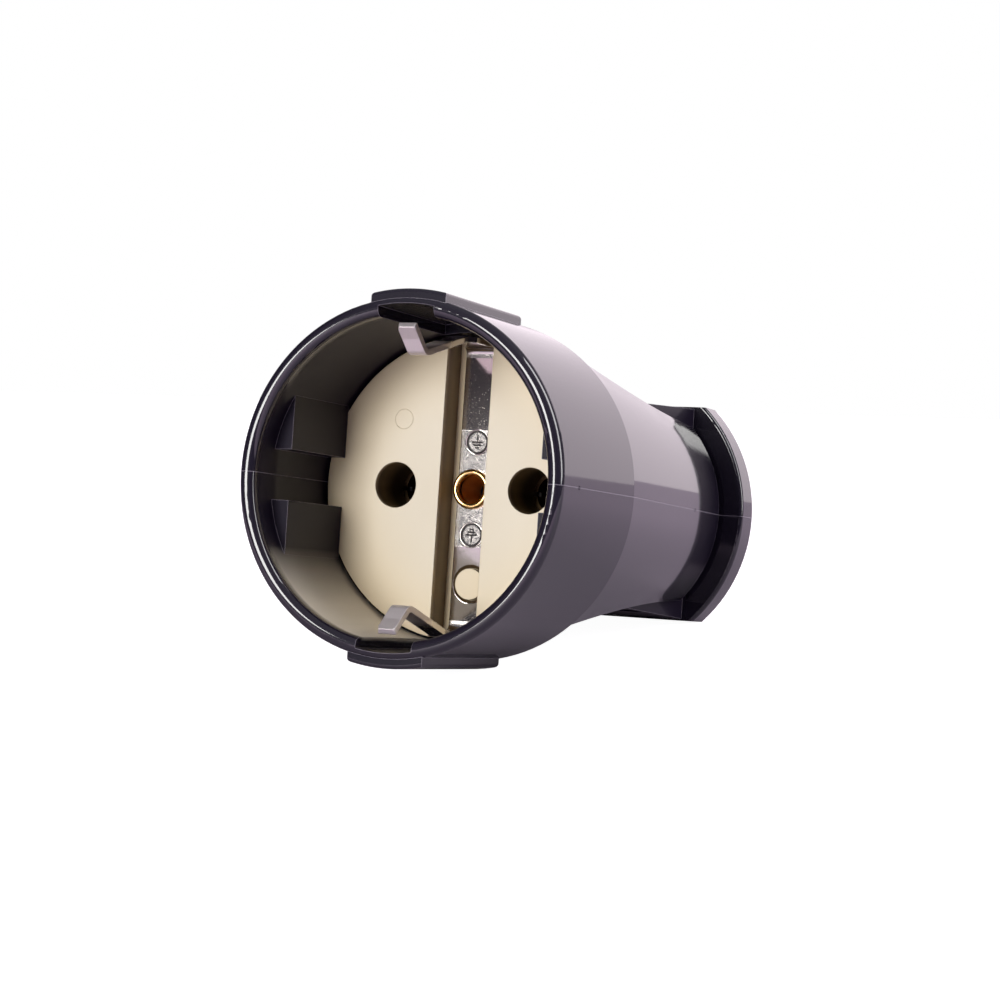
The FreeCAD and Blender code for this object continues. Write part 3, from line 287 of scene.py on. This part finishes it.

# Socket insert, one satin cream moulding that slides into the casing from behind. Painted
# shade makes it warmer in its corners and brown, going near black deeper down, on the walls of
# its groove and holes, and a pin of the mould left a faint ring on its face, made here as a
# fine line of its own.

CREAM = (0.80, 0.72, 0.58, 1)
CREAM_DEEP = (0.75, 0.66, 0.51, 1)
# Painted shade for the corners.
CREAM_PAINTED_CORNER_SHADE = (0.78, 0.64, 0.42, 1)
# Painted shade for the walls of the groove and holes, brown near the face, darker deeper down.
CREAM_SHADED = (0.27, 0.185, 0.085, 1)
CREAM_PAINTED_DEEP_SHADE = (0.080, 0.052, 0.022, 1)
INSERT_EDGE = {"Radius": 0.00018, "Spread": 4.0}
INSERT_SKIN = {"Ripple Scale": 90.0, "Grain Scale": 3400.0}
INSERT_ROUGH = (0.36, 0.48)
INSERT_GRAIN_HEIGHT = 0.000004
CORNER_REACH = 0.012
CORNER_SHADE = (0.95, 0.45)
FACE_DEPTH = 0.0175
WALL_START = (FACE_DEPTH + 0.0001, FACE_DEPTH + 0.0009)
WALL_DARKENS = (FACE_DEPTH + 0.0022, FACE_DEPTH + 0.0050)
FACES_MOUTH = (0.6, 0.2)
EJECTOR_SIDE = -0.00889
EJECTOR_HEIGHT = 0.00856
EJECTOR_RADIUS = 0.00128
EJECTOR_LINE = 0.00004

insert_finish, tree, shader = new_material("insert_cream_moulding")
edge = use_group(tree, EDGES, INSERT_EDGE)
skin = use_group(tree, SKIN, INSERT_SKIN)
spot = use_group(tree, PLACES)
# Painted shade: corners found by occlusion turn a warmer, darker cream.
open_sky = add_node(tree, "ShaderNodeAmbientOcclusion", [("Distance", CORNER_REACH)], samples=6)
corner = step_over(tree, open_sky.outputs["AO"], *CORNER_SHADE)
surface = add_node(tree, "ShaderNodeNewGeometry")
facing = add_node(tree, "ShaderNodeVectorMath", [(0, surface.outputs["Normal"]), (1, outward)],
                  operation="DOT_PRODUCT")
# Painted shade: the groove and hole walls are brown near the face and near black deeper down.
wall = product(tree, step_over(tree, spot.outputs["Depth"], *WALL_START),
               step_over(tree, facing.outputs["Value"], *FACES_MOUTH))
cream = mix_colour(tree, skin.outputs["Ripple"], CREAM, CREAM_DEEP)
cream = mix_colour(tree, corner, cream, CREAM_PAINTED_CORNER_SHADE)
shaded = mix_colour(tree, step_over(tree, spot.outputs["Depth"], *WALL_DARKENS), CREAM_SHADED,
                    CREAM_PAINTED_DEEP_SHADE)
tree.links.new(mix_colour(tree, wall, cream, shaded), shader.inputs["Base Color"])
tree.links.new(between(tree, skin.outputs["Ripple"], *INSERT_ROUGH), shader.inputs["Roughness"])
tree.links.new(raised(tree, skin.outputs["Grain"], INSERT_GRAIN_HEIGHT, edge.outputs["Normal"]),
               shader.inputs["Normal"])
dress(insert_finish, "socket_insert")


def ring_points(radius, depth, height, side, count=48):
    """Points round a circle that faces the mouth, as side, depth and height."""
    return [(side + radius * math.cos(math.tau * turn / count), depth,
             height + radius * math.sin(math.tau * turn / count)) for turn in range(count)]


def raised_lines(name, strokes, thickness, material):
    """Round-edged lines on a face, from strokes given as lists of points."""
    curve = bpy.data.curves.new(name, "CURVE")
    curve.dimensions = "3D"
    curve.bevel_depth = thickness
    curve.bevel_resolution = 3
    for stroke, closed in strokes:
        spline = curve.splines.new("POLY")
        spline.points.add(len(stroke) - 1)
        for point, place in zip(spline.points, stroke):
            point.co = (*place, 1)
        spline.use_cyclic_u = closed
    curve.use_fill_caps = True
    piece = bpy.data.objects.new(name, curve)
    bpy.context.scene.collection.objects.link(piece)
    piece.matrix_world = socket_space
    curve.materials.append(material)
    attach(piece, "root")
    return piece


ejector_ring = ring_points(EJECTOR_RADIUS, FACE_DEPTH, EJECTOR_HEIGHT, EJECTOR_SIDE)
raised_lines("ejector_mark", [(ejector_ring, True)], EJECTOR_LINE, insert_finish)

# Retainer, a pale matt moulding behind the insert, and the black cord grip bar. Both
# are hidden once the casing is closed, and both come from the same kind of mould.

HIDDEN_EDGE = {"Radius": 0.00020, "Spread": 4.0}
HIDDEN_SKIN = {"Ripple Scale": 160.0, "Grain Scale": 4200.0}
HIDDEN_ROUGH = (0.50, 0.66)
HIDDEN_GRAIN_HEIGHT = 0.000008
HIDDEN_MOULDINGS = {
    "contact_retainer": ("retainer_moulding", (0.70, 0.64, 0.54, 1), (0.60, 0.54, 0.45, 1)),
    "cord_grip_bar": ("grip_bar_moulding", (0.030, 0.030, 0.034, 1), (0.060, 0.060, 0.065, 1)),
}

for name, (finish_name, first_tone, second_tone) in HIDDEN_MOULDINGS.items():
    finish, tree, shader = new_material(finish_name)
    edge = use_group(tree, EDGES, HIDDEN_EDGE)
    skin = use_group(tree, SKIN, HIDDEN_SKIN)
    tree.links.new(mix_colour(tree, skin.outputs["Ripple"], first_tone, second_tone),
                   shader.inputs["Base Color"])
    tree.links.new(between(tree, skin.outputs["Grain"], *HIDDEN_ROUGH),
                   shader.inputs["Roughness"])
    tree.links.new(raised(tree, skin.outputs["Grain"], HIDDEN_GRAIN_HEIGHT,
                          edge.outputs["Normal"]), shader.inputs["Normal"])
    dress(finish, name)

# Earth strap, a strip of nickel-plated sheet folded into two clips and held by the
# eyelet. The plating is speckled and wavy, the strip bows a little towards each fold,
# and plugs have rubbed the clips matt; their pale pinkish colour is partly wear and partly a
# painted highlight.

NICKEL = (0.66, 0.62, 0.59, 1)
NICKEL_SPOT = (0.30, 0.27, 0.24, 1)
NICKEL_ROUGH = (0.08, 0.18)
SPOT_ROUGH = 0.45
STRAP_EDGE = {"Radius": 0.00015, "Spread": 4.0}
STRAP_SKIN = {"Ripple Scale": 420.0, "Grain Scale": 2600.0, "Speck Scale": 2600.0}
STRAP_RIPPLE_HEIGHT = 0.000009
STRAP_GRAIN_HEIGHT = 0.000003
STRAP_UPPER_BOW = (0.0076, 0.0170)
STRAP_LOWER_BOW = (-0.0074, -0.0170)
STRAP_BOW_SLOPE = 0.20
CLIP_WAIST = 0.0105
CLIP_WAIST_BLEND = 0.003
CLIP_ROUGH = 0.42
CLIP_RUBBED_AND_HIGHLIGHT = (0.95, 0.88, 0.88, 1)

strap_finish, tree, shader = new_material("strap_nickel_plate")
edge = use_group(tree, EDGES, STRAP_EDGE)
skin = use_group(tree, SKIN, STRAP_SKIN)
spot = use_group(tree, PLACES)
clips = step_over(tree, spot.outputs["Depth"], CLIP_WAIST, CLIP_WAIST - CLIP_WAIST_BLEND)
plate = mix_colour(tree, skin.outputs["Specks"], NICKEL, NICKEL_SPOT)
# Painted highlight: the clips take a pale pinkish metal colour, partly for wear.
tree.links.new(mix_colour(tree, clips, plate, CLIP_RUBBED_AND_HIGHLIGHT), shader.inputs["Base Color"])
rough = combined(tree, "ADD", between(tree, skin.outputs["Grain"], *NICKEL_ROUGH),
                 between(tree, skin.outputs["Specks"], 0.0, SPOT_ROUGH))
rough = combined(tree, "ADD", rough, between(tree, clips, 0.0, CLIP_ROUGH))
tree.links.new(rough, shader.inputs["Roughness"])


def bowed(tree, height, start, end):
    """A bump height that sinks at the strap's slope from start to end."""
    return add_node(tree, "ShaderNodeMapRange", [
        ("Value", height), ("From Min", start), ("From Max", end), ("To Min", 0.0),
        ("To Max", -abs(end - start) * STRAP_BOW_SLOPE)]).outputs[0]


bows = combined(tree, "ADD", bowed(tree, spot.outputs["Height"], *STRAP_UPPER_BOW),
                bowed(tree, spot.outputs["Height"], *STRAP_LOWER_BOW))
bent = raised(tree, bows, 1.0, edge.outputs["Normal"])
rolled = raised(tree, skin.outputs["Ripple"], STRAP_RIPPLE_HEIGHT, bent)
tree.links.new(raised(tree, skin.outputs["Grain"], STRAP_GRAIN_HEIGHT, rolled),
               shader.inputs["Normal"])
shader.inputs["Metallic"].default_value = 1.0
dress(strap_finish, "earth_strap")

# Earth signs, two ringed signs stamped in the face of the strap, one on each side of the
# eyelet. Each is a ring, an upright and three bars of falling length, dark with painted shade
# for the shadow in the stamped lines, and the metal that the stamp pushed up is a bright rim
# round the ring.

SIGN_SHADE = (0.045, 0.036, 0.034, 1)
SIGN_SHADE_DEEP = (0.020, 0.016, 0.016, 1)
SIGN_SKIN = {"Ripple Scale": 900.0, "Grain Scale": 4200.0}
SIGN_ROUGH = (0.35, 0.60)
STRAP_FACE = 0.0207
SIGN_SIDE = 0.0003
SIGN_PLACES = ((0.00610, 1), (-0.00587, -1))
SIGN_RADIUS = 0.00136
SIGN_LINE = 0.00012
SIGN_RIM = 0.00012
SIGN_UPRIGHT = 0.00098
SIGN_BARS = ((0.0, 0.00078), (-0.00036, 0.00052), (-0.00070, 0.00026))

# Painted shade: the sign lines are dark for the shadow that falls in a stamped line.
sign_finish, tree, shader = new_material("stamped_lines_shade")
skin = use_group(tree, SKIN, SIGN_SKIN)
tree.links.new(mix_colour(tree, skin.outputs["Ripple"], SIGN_SHADE, SIGN_SHADE_DEEP),
               shader.inputs["Base Color"])
tree.links.new(between(tree, skin.outputs["Grain"], *SIGN_ROUGH), shader.inputs["Roughness"])

for number, (height, way) in enumerate(SIGN_PLACES, start=1):
    rim = ring_points(SIGN_RADIUS + SIGN_RIM + SIGN_LINE, STRAP_FACE, height, SIGN_SIDE)
    raised_lines("earth_sign_rim_%d" % number, [(rim, True)], SIGN_RIM, strap_finish)
    ring = ring_points(SIGN_RADIUS, STRAP_FACE, height, SIGN_SIDE)
    upright = [(SIGN_SIDE, STRAP_FACE, height + SIGN_UPRIGHT * way),
               (SIGN_SIDE, STRAP_FACE, height)]
    strokes = [(ring, True), (upright, False)]
    for drop, half in SIGN_BARS:
        bar = [(SIGN_SIDE - half, STRAP_FACE, height + drop * way),
               (SIGN_SIDE + half, STRAP_FACE, height + drop * way)]
        strokes.append((bar, False))
    raised_lines("earth_sign_%d" % number, strokes, SIGN_LINE, sign_finish)

# Centre eyelet, a drawn brass tube whose front end is rolled over the strap.
# It is polished, with a duller bore whose warmer orange is painted light, for the light that
# goes round twice in it.

BRASS = (0.90, 0.62, 0.30, 1)
BRASS_DEEP = (0.72, 0.44, 0.14, 1)
BRASS_BORE_PAINTED_BOUNCE = (0.92, 0.50, 0.16, 1)
BRASS_ROUGH = (0.10, 0.20)
EYELET_EDGE = {"Radius": 0.00010, "Spread": 3.0}
EYELET_SKIN = {"Ripple Scale": 500.0, "Grain Scale": 5200.0}
EYELET_RIPPLE_HEIGHT = 0.00002
BORE_REACH = 0.00178
BORE_REACH_BLEND = 0.0001
BORE_START = (STRAP_FACE + 0.0001, STRAP_FACE + 0.0008)
BORE_ROUGH = 0.40

eyelet_finish, tree, shader = new_material("eyelet_rolled_brass")
edge = use_group(tree, EDGES, EYELET_EDGE)
skin = use_group(tree, SKIN, EYELET_SKIN)
spot = use_group(tree, PLACES)
bore = product(tree, step_over(tree, spot.outputs["Reach"], BORE_REACH + BORE_REACH_BLEND, BORE_REACH),
               step_over(tree, spot.outputs["Depth"], *BORE_START))
brass = mix_colour(tree, skin.outputs["Ripple"], BRASS, BRASS_DEEP)
# Painted light: the bore is a warmer orange for light that bounces round inside it.
tree.links.new(mix_colour(tree, bore, brass, BRASS_BORE_PAINTED_BOUNCE), shader.inputs["Base Color"])
polished = between(tree, skin.outputs["Grain"], *BRASS_ROUGH)
tree.links.new(combined(tree, "ADD", polished, between(tree, bore, 0.0, BORE_ROUGH)),
               shader.inputs["Roughness"])
tree.links.new(raised(tree, skin.outputs["Ripple"], EYELET_RIPPLE_HEIGHT, edge.outputs["Normal"]),
               shader.inputs["Normal"])
shader.inputs["Metallic"].default_value = 1.0
dress(eyelet_finish, "centre_eyelet")

# Contact sleeves, earth terminal and casing nuts, all brass cut or turned from bar.
# They keep the fine lines of the tool and a dull skin, because nobody polishes them, and
# the sleeves and the terminal are dark with tarnish.

TARNISHED_BRASS = (0.16, 0.10, 0.045, 1)
TARNISHED_BRASS_DEEP = (0.07, 0.045, 0.025, 1)
TARNISHED_ROUGH = (0.34, 0.52)
SLEEVE_LINES = 1500.0
NUT_BRASS = (0.70, 0.52, 0.26, 1)
NUT_BRASS_DULL = (0.46, 0.33, 0.17, 1)
NUT_ROUGH = (0.34, 0.50)
NUT_LINES = 900.0
CUT_EDGE = {"Radius": 0.00012, "Spread": 4.0}
CUT_SKIN = {"Ripple Scale": 260.0, "Grain Scale": 3600.0}
CUT_LINE_HEIGHT = 0.000006


def tool_lines(tree, lines_per_metre):
    """Fine lines across the piece's length, as a cutter leaves them."""
    place = add_node(tree, "ShaderNodeTexCoord")
    return add_node(tree, "ShaderNodeTexWave", [
        ("Vector", place.outputs["Object"]), ("Scale", lines_per_metre), ("Distortion", 0.4),
        ("Detail", 1.0)], bands_direction="Y").outputs["Fac"]


def cut_metal(name, bright, dull, rough, lines_per_metre):
    """A metal with tool lines and dull patches."""
    finish, tree, shader = new_material(name)
    edge = use_group(tree, EDGES, CUT_EDGE)
    skin = use_group(tree, SKIN, CUT_SKIN)
    tree.links.new(mix_colour(tree, skin.outputs["Ripple"], bright, dull),
                   shader.inputs["Base Color"])
    tree.links.new(between(tree, skin.outputs["Grain"], *rough), shader.inputs["Roughness"])
    tree.links.new(raised(tree, tool_lines(tree, lines_per_metre), CUT_LINE_HEIGHT,
                          edge.outputs["Normal"]), shader.inputs["Normal"])
    shader.inputs["Metallic"].default_value = 1.0
    return finish


sleeve_finish = cut_metal("turned_brass", TARNISHED_BRASS, TARNISHED_BRASS_DEEP,
                          TARNISHED_ROUGH, SLEEVE_LINES)
dress(sleeve_finish, "contact_sleeve_left", "contact_sleeve_right", "earth_terminal")
nut_finish = cut_metal("nut_brass_bar", NUT_BRASS, NUT_BRASS_DULL, NUT_ROUGH, NUT_LINES)
dress(nut_finish, "casing_nut_left", "casing_nut_right")

# Screws and ring springs, zinc-plated or plain steel. Casing screws come up from the
# underside into the nuts, the others clamp the wires, the earth lead and the cable.

ZINC = (0.62, 0.62, 0.63, 1)
ZINC_DULL = (0.42, 0.42, 0.44, 1)
ZINC_ROUGH = (0.24, 0.40)
SCREW_LINES = 2200.0
SPRING_STEEL = (0.48, 0.48, 0.50, 1)
SPRING_STEEL_DULL = (0.30, 0.30, 0.33, 1)
SPRING_ROUGH = (0.28, 0.44)
SPRING_LINES = 3000.0

screw_finish = cut_metal("screw_zinc_plate", ZINC, ZINC_DULL, ZINC_ROUGH, SCREW_LINES)
dress(screw_finish, "casing_screw_left", "casing_screw_right", "terminal_screw_left",
      "terminal_screw_right", "earth_terminal_screw", "cord_grip_screw_left",
      "cord_grip_screw_right")
spring_finish = cut_metal("spring_wire_steel", SPRING_STEEL, SPRING_STEEL_DULL, SPRING_ROUGH,
                          SPRING_LINES)
dress(spring_finish, "sleeve_spring_left", "sleeve_spring_right")

# Table and room, a plain pale table in a white studio. The table keeps the shadow. To the
# eye both are white, while gloss sees a room that is pale behind and overhead and dim in
# front, and a table that is bright in front and a little lit behind.

FLOOR_SIDE = 0.9
FLOOR_COLOUR = (0.44, 0.385, 0.46, 1)
FLOOR_ROUGH = 0.6
FLOOR_LIFT = 0.97
FLOOR_GLOW = (1.0, 1.0, 1.0, 1)
FLOOR_GLOW_IN_GLOSS = (1.0, 0.74, 1.0, 1)
FLOOR_FRONT = (-0.05, -0.12)
FLOOR_FRONT_LIFT = 0.60
FLOOR_BEHIND = (0.01, 0.10)
FLOOR_BEHIND_LIFT = 0.22
ROOM_DIM = (0.038, 0.038, 0.060, 1)
ROOM_WHITE = (1.0, 1.0, 1.0, 1)
ROOM_BEHIND = (0.60, 0.80)
ROOM_BEHIND_LEVEL = 0.62
ROOM_OVERHEAD = (0.45, 1.0)
ROOM_OVERHEAD_LEVEL = 0.25

bpy.ops.mesh.primitive_plane_add(size=FLOOR_SIDE)
floor = bpy.context.object
floor.name = "table"
floor_finish, tree, shader = new_material("table_white")
shader.inputs["Base Color"].default_value = FLOOR_COLOUR
shader.inputs["Roughness"].default_value = FLOOR_ROUGH
rays = add_node(tree, "ShaderNodeLightPath")
place = add_node(tree, "ShaderNodeTexCoord")
split = add_node(tree, "ShaderNodeSeparateXYZ", [("Vector", place.outputs["Object"])])
front_lift = product(tree, step_over(tree, split.outputs["Y"], *FLOOR_FRONT), FLOOR_FRONT_LIFT)
behind_lift = product(tree, step_over(tree, split.outputs["Y"], *FLOOR_BEHIND), FLOOR_BEHIND_LIFT)
gloss_lift = product(tree, rays.outputs["Is Glossy Ray"],
                     combined(tree, "ADD", front_lift, behind_lift))
eye_lift = product(tree, rays.outputs["Is Camera Ray"], FLOOR_LIFT)
tree.links.new(mix_colour(tree, rays.outputs["Is Camera Ray"], FLOOR_GLOW_IN_GLOSS, FLOOR_GLOW),
               shader.inputs["Emission Color"])
tree.links.new(combined(tree, "ADD", eye_lift, gloss_lift), shader.inputs["Emission Strength"])
floor.data.materials.append(floor_finish)

world = bpy.data.worlds.new("studio")
bpy.context.scene.world = world
world.use_nodes = True
tree = world.node_tree
background = tree.nodes["Background"]
rays = add_node(tree, "ShaderNodeLightPath")
place = add_node(tree, "ShaderNodeTexCoord")
split = add_node(tree, "ShaderNodeSeparateXYZ", [("Vector", place.outputs["Generated"])])
behind = between(tree, step_over(tree, split.outputs["Y"], *ROOM_BEHIND), 0.0, ROOM_BEHIND_LEVEL)
overhead = between(tree, step_over(tree, split.outputs["Z"], *ROOM_OVERHEAD), 0.0,
                   ROOM_OVERHEAD_LEVEL)
seen = combined(tree, "MAXIMUM", rays.outputs["Is Camera Ray"],
                rays.outputs["Is Transmission Ray"])
level = combined(tree, "MAXIMUM", combined(tree, "MAXIMUM", overhead, behind), seen)
tree.links.new(mix_colour(tree, level, ROOM_DIM, ROOM_WHITE), background.inputs["Color"])

# Lamps, three soft panels round the part: a key at the front left that looks into the
# recess, a tall one on the right that draws the line along the bead, and a long one
# behind that lies in the sides of the casing.

MIDDLE = Vector((0.0, 0.0, 0.024))
# Each row is azimuth, height angle, distance, width, tall, brightness and colour.
PANELS = {
    "key_front_left": (-101.5, 15.0, 0.90, 0.34, 0.46, 13.5, (1.0, 0.99, 0.97)),
    "tall_right": (2.0, 34.0, 0.90, 0.34, 1.00, 7.0, (1.0, 1.0, 1.0)),
    "long_behind": (90.0, 14.5, 1.20, 1.75, 0.86, 0.80, (1.0, 0.80, 0.92)),
}


def panel(name, azimuth, height, distance, width, tall, brightness, colour):
    """A soft flat lamp that faces the part, placed by azimuth from +X and by height angle."""
    lamp = bpy.data.lights.new(name, "AREA")
    lamp.shape = "RECTANGLE"
    lamp.size = width
    lamp.size_y = tall
    lamp.energy = brightness * math.pi * width * tall
    lamp.color = colour
    holder = bpy.data.objects.new(name, lamp)
    bpy.context.scene.collection.objects.link(holder)
    round_table = math.radians(azimuth)
    up = math.radians(height)
    away = Vector((math.cos(round_table) * math.cos(up), math.sin(round_table) * math.cos(up),
                   math.sin(up)))
    holder.location = MIDDLE + away * distance
    holder.rotation_euler = (-away).to_track_quat("-Z", "Y").to_euler()
    holder.visible_camera = False
    return holder


for name, row in PANELS.items():
    panel(name, *row)

# Camera, at the photograph's angle: a long lens from the front right, a little above.
# Its azimuth turns it to the left of +Y, and its drop tips it down.

CAMERA_PLACE = (0.1350, -0.28943, 0.05377)
CAMERA_AZIMUTH = 25.37
CAMERA_DROP = 6.00
CAMERA_ROLL = -0.12
CAMERA_LENS = 86.4
CAMERA_SENSOR = 36.0
CAMERA_NEAR = 0.01

lens = bpy.data.cameras.new("camera")
lens.lens = CAMERA_LENS
lens.sensor_width = CAMERA_SENSOR
lens.clip_start = CAMERA_NEAR
camera = bpy.data.objects.new("camera", lens)
bpy.context.scene.collection.objects.link(camera)
turn = math.radians(CAMERA_AZIMUTH)
drop = math.radians(CAMERA_DROP)
looking = Vector((-math.sin(turn) * math.cos(drop), math.cos(turn) * math.cos(drop),
                  -math.sin(drop)))
level_view = looking.to_track_quat("-Z", "Y")
camera.rotation_mode = "QUATERNION"
camera.rotation_quaternion = level_view @ Matrix.Rotation(
    math.radians(CAMERA_ROLL), 3, "Z").to_quaternion()
camera.location = CAMERA_PLACE
bpy.context.scene.camera = camera

bpy.context.scene.view_settings.view_transform = "Standard"
